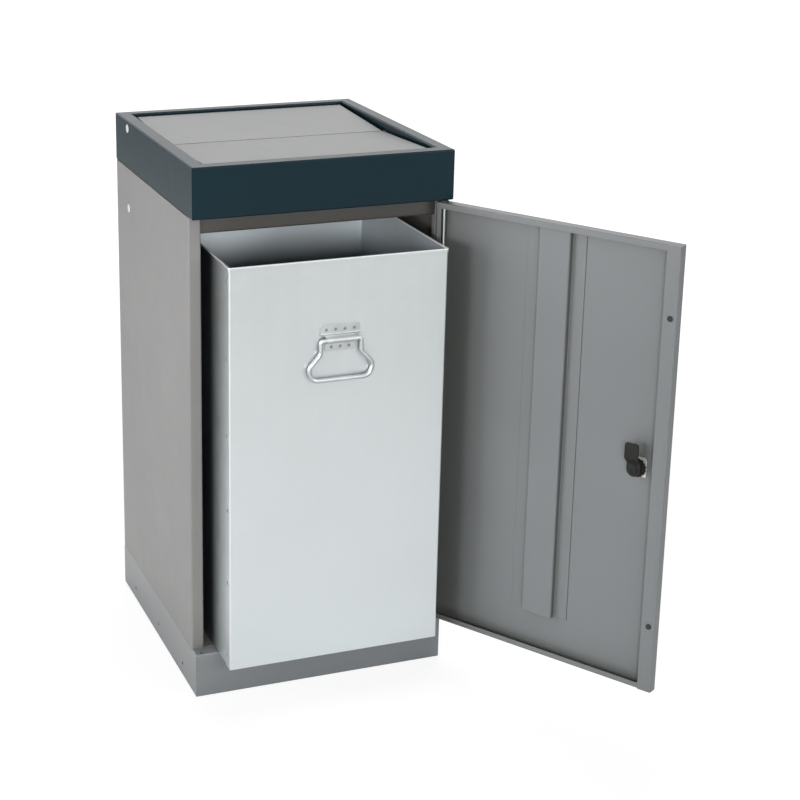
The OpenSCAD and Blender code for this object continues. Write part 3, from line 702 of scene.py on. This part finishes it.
@dataclass(frozen=True)
class Piece:
    """A finished piece: its name, body and finish, the CAD nodes that it stands for, and its bevel in mm."""

    name: str
    body: str
    finish: Finishes
    nodes: tuple[str, ...]
    edge: float = 0.0

    def make(self, surface: Surface) -> None:
        """Makes the piece in the frame, its surface smooth but for its sharp edges.

        Args:
            surface: its shape in millimetres, where it lies in the frame.
        """
        mesh = bpy.data.meshes.new(self.name)
        mesh.from_pydata((surface.points * MM).tolist(), [],
                         [face for block in surface.faces for face in block.tolist()])
        mesh.polygons.foreach_set("use_smooth", np.ones(len(mesh.polygons), bool))
        mesh.set_sharp_from_angle(angle=SHARP_ABOVE)
        mesh.materials.append(self.finish.value.material())
        made = added(self.name, mesh)
        if self.edge:
            bevel = made.modifiers.new("edges", "BEVEL")
            bevel.width = self.edge * MM
            bevel.segments = 2
            bevel.limit_method = "ANGLE"
            bevel.angle_limit = BEVEL_ABOVE
        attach(made, self.body)
        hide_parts(*self.nodes)
        log.info("%s rides on the %s", self.name, self.body)


def extent(node: str) -> tuple[np.ndarray, np.ndarray]:
    """The lowest and highest corner of a CAD node, in millimetres."""
    low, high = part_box(node)
    return np.array(low) / MM, np.array(high) / MM


def pop_rivet(radius: float, height: float, mandrel: float) -> Surface:
    """The domed head of a blind rivet, with the stub of its mandrel sunk in the middle.

    Args:
        radius: the head's radius.
        height: how far the head stands up.
        mandrel: the radius of the hole that the mandrel leaves.

    Returns:
        The head, standing up from z = 0.
    """
    rise = np.linspace(0.0, np.pi / 2.0, 7)
    lip = mandrel + 0.25
    dome = joined(lip + (radius - lip) * np.cos(rise), height * np.sin(rise))
    well = np.array([[mandrel, height * 0.85], [mandrel * 0.9, height * 0.2], [mandrel * 0.3, height * 0.2]])
    return turned(np.concatenate([dome, well]), 20)


def button(radius: float, height: float, edge: float) -> Surface:
    """A low round head whose edge is an arc and whose top is faintly domed.

    Args:
        radius: its radius.
        height: its height.
        edge: the radius of its edge, at most its height.

    Returns:
        The head, standing up from z = 0.
    """
    bend = np.linspace(0.0, np.pi / 2.0, 6)
    foot = np.array([[radius, 0.0]])
    rim = joined(radius - edge + edge * np.cos(bend), height * 0.92 - edge + edge * np.sin(bend))
    dome = np.array([[radius * 0.5, height * 0.98], [radius * 0.2, height], [radius * 0.04, height]])
    return turned(np.concatenate([foot, rim, dome]), 36)


# Small parts


@dataclass
class DropHandle:
    """The drop handle: a pressed plate, the barrel rolled from it, its rivets and the bent-wire bail."""

    hem: float = 1.0
    sheet: float = 1.3
    upper_half: float = 30.5
    upper_pitch: float = 14.2
    lower_places: tuple[float, ...] = (-13.5, 0.0, 13.5)
    rivet: float = 2.4
    rivet_from_top: float = 8.0
    rivet_from_foot: float = 6.0
    barrel_half: float = 23.0
    roll: float = 3.9
    shoulder: float = 31.0
    lobe: float = 50.0
    grip_in: float = 6.0
    radii: tuple[float, ...] = (4.0, 12.0, 12.0, 13.0)

    def build(self) -> None:
        """Builds the bail, the plate and the rivets where the CAD solids lie."""
        bail_low, bail_high = extent("handle_bail")
        plate_low, plate_high = extent("handle_plate")
        wall_y = extent("container_front")[0][1] + self.hem
        radius = (bail_high[1] - bail_low[1]) / 2.0
        pivot = np.array([0.0, bail_high[1] - radius, bail_high[2] - radius])
        self.bail(pivot, radius, bail_low[2] + radius - pivot[2])
        self.plate(pivot, wall_y, plate_low[2] - pivot[2], plate_high[2] - pivot[2])
        self.rivets(wall_y - self.sheet, plate_low[2], plate_high[2])

    def bail(self, pivot: np.ndarray, radius: float, grip: float) -> None:
        """Makes the bail, one wire from the barrel's middle out to the shoulder, round the loop and back.

        Args:
            pivot: the middle of the barrel.
            radius: the wire's radius.
            grip: how far the grip lies below the pivot, as a negative height.
        """
        right = [(1.0, 0.0), (self.shoulder, 0.0), (self.shoulder, grip * 0.34),
                 (self.lobe, grip * 0.68), (self.lobe - self.grip_in, grip)]
        left = [(-x, z) for x, z in reversed(right)]
        path = Path.rounded(right + left, [*self.radii, *reversed(self.radii)], 12)
        bail = wire(path, radius).at(pivot)
        Piece("handle_bail_wire", "bail", Finishes.HANDLE, ("handle_bail",)).make(bail)

    def plate(self, pivot: np.ndarray, wall_y: float, low: float, high: float) -> None:
        """Makes the plate in one pressing with its tongue and with the strap that rolls round the wire.

        Args:
            pivot: the middle of the barrel.
            wall_y: the container's front face.
            low: the tongue's lower edge, from the pivot.
            high: the plate's upper edge, from the pivot.
        """
        reach, roll, mid = pivot[1] - wall_y, self.roll, -self.sheet / 2.0
        tongue, narrow = upright(self.barrel_half, low, -roll - 1.2, (3.0, 0.01), mid)
        strap = Path.rounded([(mid, -roll - 1.1), (mid, -roll), (reach - roll, -roll), (reach - roll, roll),
                              (mid - 1.0, roll), (mid, roll + 1.2), (mid, roll + 1.6)],
                             [1.0, roll - 0.05, roll - 0.05, 0.4, 0.4], 7)
        ridge = Path.rounded([(mid, roll + 1.7), (mid, roll + 3.0), (mid - 1.7, roll + 4.4),
                              (mid, roll + 5.8), (mid, roll + 6.4)], [0.8, 1.0, 0.8], 5)
        upper, wide = upright(self.upper_half, roll + 6.5, high, (0.01, 4.5), mid)
        half = np.concatenate([narrow, np.full_like(strap.headings, self.barrel_half),
                               np.full_like(ridge.headings, self.upper_half), wide])
        sheet = pressed(tongue + strap + ridge + upper, half, self.sheet)
        Piece("handle_plate_pressing", "container", Finishes.HANDLE, ("handle_plate",), 0.3).make(
            sheet.at(np.array([0.0, wall_y, pivot[2]])))

    def rivets(self, face_y: float, low: float, high: float) -> None:
        """Makes the heads of four rivets through the upper plate and of three through the tongue.

        Args:
            face_y: the plate's face.
            low: the tongue's lower edge.
            high: the plate's upper edge.
        """
        upper = (np.arange(4) - 1.5) * self.upper_pitch
        places = np.concatenate([joined(upper, face_y, high - self.rivet_from_top),
                                 joined(self.lower_places, face_y, low + self.rivet_from_foot)])
        head = pop_rivet(self.rivet, height=1.0, mandrel=0.95).aimed(Way.FRONT)
        Piece("handle_rivet_heads", "container", Finishes.RIVET, ("handle_rivets",)).make(head.at(places))


@dataclass
class LapRivets:
    """The blind rivets down both laps of the container, seen from outside and from inside."""

    hem: float = 1.0
    head: float = 2.7
    margin: float = 22.0
    count: int = 6
    lap: float = 10.0

    def build(self) -> None:
        """Makes the heads on both faces of both laps, evenly spaced between the margins."""
        low, high = extent("container_front")
        z = np.linspace(low[2] + self.margin, high[2] - self.margin, self.count)
        face, y = high[0] - self.hem, low[1] + self.hem + self.lap
        outer = pop_rivet(self.head, self.hem, mandrel=1.0).aimed(Way.RIGHT)
        inner = pop_rivet(self.head * 0.9, self.hem, mandrel=0.4).aimed(Way.LEFT)
        heads = outer.at(joined(face, y, z)) + inner.at(joined(face - 2.0 * self.hem, y, z))
        Piece("lap_rivet_heads", "container", Finishes.RIVET, ("container_rivets",)).make(heads.mirrored())


@dataclass
class DoorFittings:
    """Lock, buffers and bushes, laid out on the closed door and then swung open with it."""

    open_angle: float = 122.0
    front_y: float = -210.0
    inner_y: float = -207.6
    return_y: float = -194.0
    lock: Pair = (-147.0, 407.0)
    cam_y: float = -195.3
    cam_thick: float = 2.6
    buffer_x: float = -187.5
    buffer_z: Pair = (176.0, 638.0)
    ends: Pair = (73.0, 741.0)
    collar: float = 2.7

    def build(self) -> None:
        """Builds every fitting of the door."""
        self.barrel()
        self.plate()
        self.nut()
        self.cam()
        self.cam_screw()
        self.buffers()
        self.bushes()

    @property
    def hinge(self) -> np.ndarray:
        """Where the hinge rod stands, in x and y."""
        low, high = extent("hinge_rod")
        return (low + high)[:2] / 2.0

    def at_lock(self, surface: Surface, y: float) -> Surface:
        """A surface moved to the lock's axis on the closed door, at a y, and swung open with the door."""
        return surface.at(joined(self.lock[0], y, self.lock[1])).swung(self.hinge, self.open_angle)

    def barrel(self) -> None:
        """The lock's rosette and barrel, turned in one, round the bore of the core."""
        profile = np.array([(6.05, 0.4), (6.5, 0.0), (11.6, 0.0), (12.6, 0.5), (13.0, 1.3), (13.0, 2.0),
                            (9.0, 2.0), (9.0, 14.7), (8.6, 15.1), (6.05, 15.1)])
        shape = turned(profile, 48, ring=True).aimed(Way.BACK)
        Piece("lock_rosette", "door", Finishes.ZINC, ("lock_barrel",)).make(
            self.at_lock(shape, self.front_y - 2.0))

    def plate(self) -> None:
        """The lock's backing plate, rounder at its upper corners than at its lower ones."""
        thick = 1.2
        line, half = upright(half=13.8, low=-13.4, high=15.8, corners=(2.0, 5.5), y=-thick / 2.0)
        Piece("lock_plate_pressing", "door", Finishes.LOCK_PLATE, ("lock_plate",), 0.25).make(
            self.at_lock(pressed(line, half, thick), self.inner_y))

    def nut(self) -> None:
        """The lock's round nut, whose rim is r = R - t (0.5 + 0.5 cos n a)^2 for n notches of depth t."""
        notches, steps, thick, edge = 16, 128, 5.0, 0.7
        angle = np.arange(steps) * (2.0 * np.pi / steps)
        rim = 14.0 - 1.6 * (0.5 + 0.5 * np.cos(notches * angle)) ** 2
        bore = np.full_like(rim, 9.05)
        radius = np.stack([bore, rim - edge, rim, rim, rim - edge, bore])
        height = np.array([0.0, 0.0, edge, thick - edge, thick, thick])[:, None]
        ring = tube(joined(radius * np.cos(angle), radius * np.sin(angle), height), ring=True)
        Piece("lock_ring_nut", "door", Finishes.BLACK_STEEL, ("lock_nut",)).make(
            self.at_lock(ring.aimed(Way.BACK), self.inner_y))

    def cam(self) -> None:
        """The cam, a pressed lever that steps out by its crank between its round hub and its rounded tip."""
        hub, reach, crank, tip = 10.5, 42.0, 9.0, 4.0
        arm = Path.rounded([(0.0, 0.0), (0.0, hub - 0.5), (crank, hub + crank - 0.5), (crank, reach - tip)],
                           [3.0, 3.0], 6)
        bend = np.linspace(0.1, np.pi / 2.0, 9)
        foot = joined(0.0, -hub * np.cos(bend))[:-1]
        close = np.linspace(0.0, np.pi / 2.0, 7)[1:]
        head = joined(crank, reach - tip + tip * np.sin(close))
        up = np.pi / 2.0
        path = Path(np.concatenate([foot, arm.points, head]),
                    np.concatenate([np.full(len(foot), up), arm.headings, np.full(len(head), up)]))
        half = np.concatenate([hub * np.sin(bend)[:-1], np.full(len(arm.headings), hub),
                               hub - tip + tip * np.cos(close)])
        Piece("lock_cam_lever", "cam", Finishes.BLACK_STEEL, ("lock_cam",), 0.45).make(
            self.at_lock(pressed(path, half, self.cam_thick), self.cam_y))

    def cam_screw(self) -> None:
        """The screw on the cam's hub: a washer, and a head with a recess."""
        profile = np.array([(7.2, 0.0), (7.2, 0.6), (6.8, 0.9), (5.4, 0.9), (5.2, 1.7), (4.6, 2.05),
                            (3.1, 2.05), (2.8, 1.2), (0.3, 1.2)])
        Piece("cam_screw_head", "cam", Finishes.BLACK_STEEL, ("cam_screw",)).make(
            self.at_lock(turned(profile, 36).aimed(Way.BACK), self.cam_y + self.cam_thick / 2.0))

    def buffers(self) -> None:
        """Two domed rubber buffers on the free return."""
        dome = button(radius=4.0, height=3.7, edge=2.6).aimed(Way.BACK)
        places = joined(self.buffer_x, self.return_y, self.buffer_z)
        Piece("door_buffer_domes", "door", Finishes.RUBBER, ("door_buffers",)).make(
            dome.at(places).swung(self.hinge, self.open_angle))

    def bushes(self) -> None:
        """A collared bush in each end of the door, with its collar outside."""
        bore, stem, rim, length = 2.55, 4.5, 6.5, 7.5
        profile = np.array([(bore, 0.0), (rim - 0.5, 0.0), (rim, 0.5), (rim, self.collar),
                            (stem, self.collar), (stem, length), (bore, length)])
        bush = turned(profile, 36, ring=True)
        low = bush.aimed(Way.UP).at(np.array([*self.hinge, self.ends[0] - self.collar]))
        high = bush.aimed(Way.DOWN).at(np.array([*self.hinge, self.ends[1] + self.collar]))
        Piece("door_hinge_bushes", "door", Finishes.BUSH, ("door_bushes",)).make(low + high)


@dataclass
class CabinetFittings:
    """The turned parts of the cabinet: hinge rod, flap bushes and side plugs."""

    head_to_rod: float = 1.8
    bush_length: float = 8.0
    plug: float = 6.5
    plug_height: float = 1.0

    def build(self) -> None:
        """Builds each of them from the box of its CAD solid."""
        self.rod()
        self.flap_bushes()
        self.plugs()

    def rod(self) -> None:
        """The hinge rod with its domed head on top and a short taper at its foot."""
        low, high = extent("hinge_rod")
        height, head = high[2] - low[2], (high[0] - low[0]) / 2.0
        rod = head / self.head_to_rod
        foot = [(rod * 0.75, 0.0), (rod, 0.6), (rod, height - rod)]
        dome = [(head, height - rod), (head, height - rod * 0.6), (head * 0.8, height - rod * 0.15),
                (head * 0.35, height), (head * 0.05, height)]
        Piece("hinge_rod_turned", "cabinet", Finishes.ROD, ("hinge_rod",)).make(
            turned(np.array(foot + dome), 24).at(np.array([*(low + high)[:2] / 2.0, low[2]])))

    def flap_bushes(self) -> None:
        """The collared bushes in the throat's walls, with the collar inside."""
        low, high = extent("flap_bushes")
        bore, rim, collar = 4.05, (high[2] - low[2]) / 2.0, 3.0
        stem = rim - 2.0
        profile = np.array([(bore, 0.0), (rim - 0.6, 0.0), (rim, 0.6), (rim, collar), (stem, collar),
                            (stem, self.bush_length), (bore, self.bush_length)])
        bush = turned(profile, 36, ring=True).aimed(Way.RIGHT)
        middle = (low + high) / 2.0
        Piece("flap_bushes_turned", "cabinet", Finishes.BUSH, ("flap_bushes",)).make(
            bush.at(np.array([high[0] - self.bush_length, middle[1], middle[2]])).mirrored())

    def plugs(self) -> None:
        """The blanking plugs' caps, two above each other on both sides."""
        low, high = extent("side_plugs")
        y = (low[1] + high[1]) / 2.0
        places = joined(high[0] - self.plug_height, y, (low[2] + self.plug, high[2] - self.plug))
        Piece("side_plug_caps", "cabinet", Finishes.PLUG, ("side_plugs",)).make(
            button(self.plug, self.plug_height, edge=0.7).aimed(Way.RIGHT).at(places).mirrored())


@dataclass
class FlapFittings:
    """The rivets that hold the leaves to the flap's web."""

    places: tuple[float, ...] = (-132.0, -44.0, 44.0, 132.0)
    head: float = 2.7
    height: float = 1.0

    def build(self) -> None:
        """Makes a rivet head on each side of the web at each place."""
        low, high = extent("flap_rivets")
        z = (low[2] + high[2]) / 2.0
        near = joined(self.places, low[1] + self.height, z)
        far = joined(self.places, high[1] - self.height, z)
        head = pop_rivet(self.head, self.height, mandrel=0.95)
        Piece("flap_rivet_heads", "flap", Finishes.ZINC, ("flap_rivets",)).make(
            head.aimed(Way.FRONT).at(near) + head.aimed(Way.BACK).at(far))


# The solids that keep their own shape: cabinet, hood, flap, door and container


@dataclass
class SheetMetal:
    """The CAD solids whose shape is right, by the finish that they take."""

    nodes: dict[Finishes, tuple[str, ...]] = field(default_factory=lambda: {
        Finishes.PLINTH: ("plinth",),
        Finishes.CABINET: ("floor_panel", "left_side_panel", "right_side_panel", "back_panel",
                           "hood_brackets"),
        Finishes.SHADED_RAIL: ("upper_rail",),
        Finishes.HOOD: ("hood_frame",),
        Finishes.ZINC: ("hood_screws", "flap_pivots", "flap_balance_bar", "lock_core"),
        Finishes.FLAP: ("flap_front_leaf", "flap_rear_leaf"),
        Finishes.SHADOW_WEB: ("flap_web",),
        Finishes.DOOR: ("door_pan", "door_stiffener"),
        Finishes.CONTAINER: ("container_shell", "container_front", "container_base"),
    })

    def dress(self, objects: dict[str, bpy.types.Object]) -> None:
        """Gives each CAD solid its finish.

        Args:
            objects: the CAD objects by name.
        """
        for finish, names in self.nodes.items():
            for name in names:
                materials = objects[name].data.materials
                materials.clear()
                materials.append(finish.value.material())
                log.info("%s takes %s", name, finish.value.name)


# Camera, lamps, surround and floor


def stand(made: bpy.types.Object, axes: list[np.ndarray], place: Point | np.ndarray) -> None:
    """Turns an object and puts it at a place.

    Args:
        made: the object.
        axes: the ways of its X, Y and Z, of length 1 and square to each other.
        place: where its origin goes, in metres.
    """
    matrix = np.eye(4)
    matrix[:3, :3] = np.stack(axes, axis=1)
    matrix[:3, 3] = place
    made.matrix_world = Matrix(matrix.tolist())


@dataclass(frozen=True)
class Lamp:
    """A square area lamp: its place, target and side in metres, and its power in watts."""

    name: str
    place: Point
    target: Point
    size: float
    watts: float

    def hang(self) -> None:
        """Adds the lamp to the scene, its face turned to the target and its side level."""
        data = bpy.data.lights.new(self.name, "AREA")
        data.shape = "SQUARE"
        data.size = self.size
        data.energy = self.watts
        back = np.array(self.place) - np.array(self.target)
        back = back / np.linalg.norm(back)
        side = np.cross([0.0, 0.0, 1.0], back)
        side = side / np.linalg.norm(side)
        stand(added(self.name, data), [side, np.cross(back, side), back], self.place)


@dataclass
class Studio:
    """White floor and surround, soft lamps and the photograph's camera."""

    focal_px: float = 1801.1
    centre_px: Pair = (288.0, 288.0)
    frame_px: float = 800.0
    camera_mm: Point = (-897.2, -2546.6, 1373.5)
    yaw: float = 19.78
    pitch: float = -16.60
    roll: float = 0.40
    ambient: float = 0.18
    gloss: float = 1.0
    floor_colour: Colour = (0.86, 0.86, 0.86)
    floor_gloss: float = 0.12
    floor_glow: float = 1.155
    floor_glow_share: float = 0.73
    floor_half: float = 14.0
    white_from: float = 1.2
    white_to: float = 2.2
    under_x: Pair = (198.0 * MM, 192.0 * MM)
    under_y: Pair = (208.0 * MM, 202.0 * MM)
    lamps: tuple[Lamp, ...] = (
        Lamp("side_lamp", (-3.6, -0.1, 1.15), (0.0, 0.0, 0.5), 1.6, 50.0),
        Lamp("key_lamp", (-2.9, -2.1, 1.08), (0.0, 0.0, 0.5), 0.8, 31.0),
        Lamp("front_lamp", (-0.95, -3.55, 1.38), (0.0, 0.0, 0.6), 0.5, 40.0),
        Lamp("right_lamp", (2.2, -3.1, 1.35), (0.2, -0.3, 0.5), 0.5, 26.0),
        Lamp("top_lamp", (0.6, 1.7, 3.0), (0.0, 0.0, 0.8), 2.4, 52.0),
        Lamp("back_lamp", (2.3, 2.5, 0.5), (0.0, 0.0, 0.45), 0.5, 40.0),
    )

    def camera(self) -> None:
        """Places the camera.

        It looks along (sin yaw cos pitch, cos yaw cos pitch, sin pitch), its right is level before the roll,
        and the focal length in pixels becomes millimetres on a 36 mm sensor.
        """
        yaw, pitch, roll = (math.radians(a) for a in (self.yaw, self.pitch, self.roll))
        ahead = np.array([math.sin(yaw) * math.cos(pitch), math.cos(yaw) * math.cos(pitch), math.sin(pitch)])
        level = np.array([math.cos(yaw), -math.sin(yaw), 0.0])
        above = np.cross(level, ahead)
        right = math.cos(roll) * level + math.sin(roll) * above
        up = math.cos(roll) * above - math.sin(roll) * level
        data = bpy.data.cameras.new("camera")
        data.sensor_width = 36.0
        data.lens = self.focal_px / self.frame_px * data.sensor_width
        data.shift_x = (self.frame_px / 2 - self.centre_px[0]) / self.frame_px
        data.shift_y = (self.centre_px[1] - self.frame_px / 2) / self.frame_px
        data.clip_end = 100.0
        made = added("camera", data)
        stand(made, [right, up, -ahead], np.array(self.camera_mm) * MM)
        bpy.context.scene.camera = made

    def world(self) -> None:
        """A surround that is white to the camera and in gloss, and dim where it lights the paint."""
        world = bpy.data.worlds.new("surround")
        bpy.context.scene.world = world
        world.use_nodes = True
        graph = Graph(world.node_tree)
        seen, shine = graph.sight()
        level = seen + (1.0 - seen) * (shine * self.gloss + (1.0 - shine) * self.ambient)
        white = graph.node("ShaderNodeBackground", None, {"Color": (1.0, 1.0, 1.0), "Strength": level})
        graph.node("ShaderNodeOutputWorld", None, {"Surface": white})

    def floor(self) -> None:
        """A white floor: a pale shadow round the bin, white further away, and dark under the plinth."""
        half = self.floor_half
        mesh = bpy.data.meshes.new("floor")
        mesh.from_pydata([(-half, -half, 0.0), (half, -half, 0.0), (half, half, 0.0), (-half, half, 0.0)],
                         [], [(0, 1, 2, 3)])
        material = bpy.data.materials.new("white_floor")
        material.use_nodes = True
        graph = Graph(material.node_tree)
        seen, shine = graph.sight()
        x, y = graph.axis("X"), graph.axis("Y")
        away = (x * x + y * y).ramp(self.white_from ** 2, self.white_to ** 2)
        under = abs(x).ramp(*self.under_x) * abs(y).ramp(*self.under_y)
        near = self.floor_glow_share
        share = seen * (near + away * (1.0 - near)) * (1.0 - under) + shine * self.floor_gloss
        paint = graph.node("ShaderNodeBsdfDiffuse", None, {"Color": self.floor_colour})
        glow = graph.node("ShaderNodeEmission", None, {
            "Color": (1.0, 1.0, 1.0), "Strength": seen * (self.floor_glow - 1.0) + 1.0})
        graph.node("ShaderNodeOutputMaterial", None, {
            "Surface": graph.node("ShaderNodeMixShader", None, {0: share, 1: paint, 2: glow})})
        mesh.materials.append(material)
        added("floor", mesh)

    def set_up(self) -> None:
        """Builds the whole studio."""
        self.camera()
        self.world()
        self.floor()
        for lamp in self.lamps:
            lamp.hang()
        bpy.context.scene.view_settings.view_transform = "Standard"


def main() -> None:
    """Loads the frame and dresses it."""
    logging.basicConfig(level=logging.INFO, format="%(name)s: %(message)s")
    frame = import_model()
    SheetMetal().dress(frame["nodes"])
    for assembly in (CabinetFittings(), FlapFittings(), DoorFittings(), LapRivets(), DropHandle()):
        assembly.build()
    Studio().set_up()


if __name__ == "__main__":
    main()
